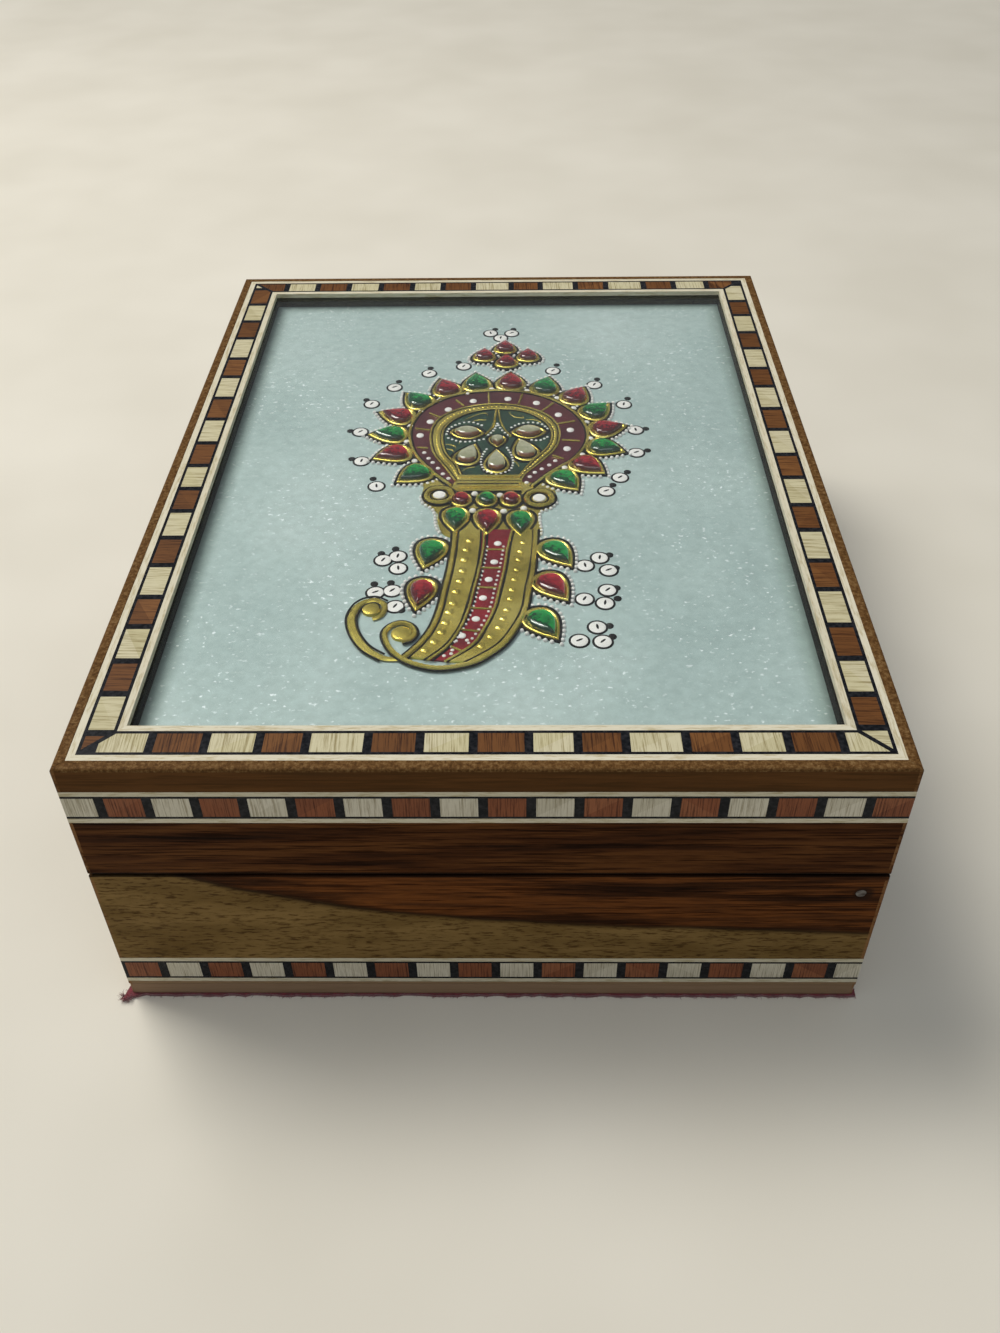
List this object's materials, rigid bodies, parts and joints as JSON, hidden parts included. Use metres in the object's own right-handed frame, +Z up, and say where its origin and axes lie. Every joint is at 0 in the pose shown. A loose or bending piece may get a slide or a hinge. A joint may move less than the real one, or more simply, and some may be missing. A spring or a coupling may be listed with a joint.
{
  "type": "inlaid jewelry box",
  "caption": "Rectangular hardwood box with a hinged lid, inlaid block bands round the lid and base, and a jewelled ornament on marble under glass.",
  "frame": {"origin": "middle of the box's footprint on the underside of the felt", "axes": "+X right, +Y to the back with the hinges, +Z up; the front faces -Y"},
  "size_m": [0.1526, 0.2093, 0.069],
  "materials": {
    "walnut_wood": "oiled hardwood, satin",
    "red_wood": "sanded red-brown hardwood",
    "bone": "sawn and sanded bone, satin",
    "black_filler": "polished black filler",
    "marble": "polished pale marble",
    "glass": "clear float glass",
    "plywood": "thin plywood",
    "gold_foil": "embossed gold foil",
    "ruby": "glossy red glass stone",
    "emerald": "glossy green glass stone",
    "clear_stone": "clear glass stone on foil",
    "velvet": "red velvet",
    "felt": "crimson felt",
    "brass": "plain brass",
    "iron": "dark iron"
  },
  "bodies": {
    "base": {"felt_base": "felt", "bottom_board": "walnut_wood", "base_front_wall": "walnut_wood", "base_back_wall": "walnut_wood", "base_left_wall": "walnut_wood", "base_right_wall": "walnut_wood", "corner_brads": "iron", "base_band_strings": "bone", "base_band_black_lines": "black_filler", "base_band_bone_blocks": "bone", "base_band_wood_blocks": "red_wood", "base_floor_lining": "velvet", "base_wall_lining": "velvet", "hinge_base_leaves": "brass", "hinge_pins": "brass", "hinge_base_screws": "brass"},
    "lid": {"lid_front_wall": "walnut_wood", "lid_back_wall": "walnut_wood", "lid_left_wall": "walnut_wood", "lid_right_wall": "walnut_wood", "top_rail_front": "walnut_wood", "top_rail_back": "walnut_wood", "top_rail_left": "walnut_wood", "top_rail_right": "walnut_wood", "lid_band_strings": "bone", "lid_band_black_lines": "black_filler", "lid_band_bone_blocks": "bone", "lid_band_wood_blocks": "red_wood", "top_outer_strings": "bone", "top_inner_strings": "bone", "top_black_lines": "black_filler", "top_bone_blocks": "bone", "top_wood_blocks": "red_wood", "glass_pane": "glass", "marble_tile": "marble", "lid_panel": "plywood", "lid_ceiling_lining": "velvet", "lid_wall_lining": "velvet", "hinge_lid_leaves": "brass", "hinge_lid_screws": "brass", "ornament_plate": "gold_foil", "emerald_stones": "emerald", "ruby_stones": "ruby", "clear_stones": "clear_stone"}
  },
  "joints": [
    {"name": "lid_hinge", "type": "hinge", "parent": "base", "child": "lid", "pos_m": [0, 0.1038, 0.04015], "axis": [-1, 0, 0], "range_deg": [0, 95]}
  ]
}
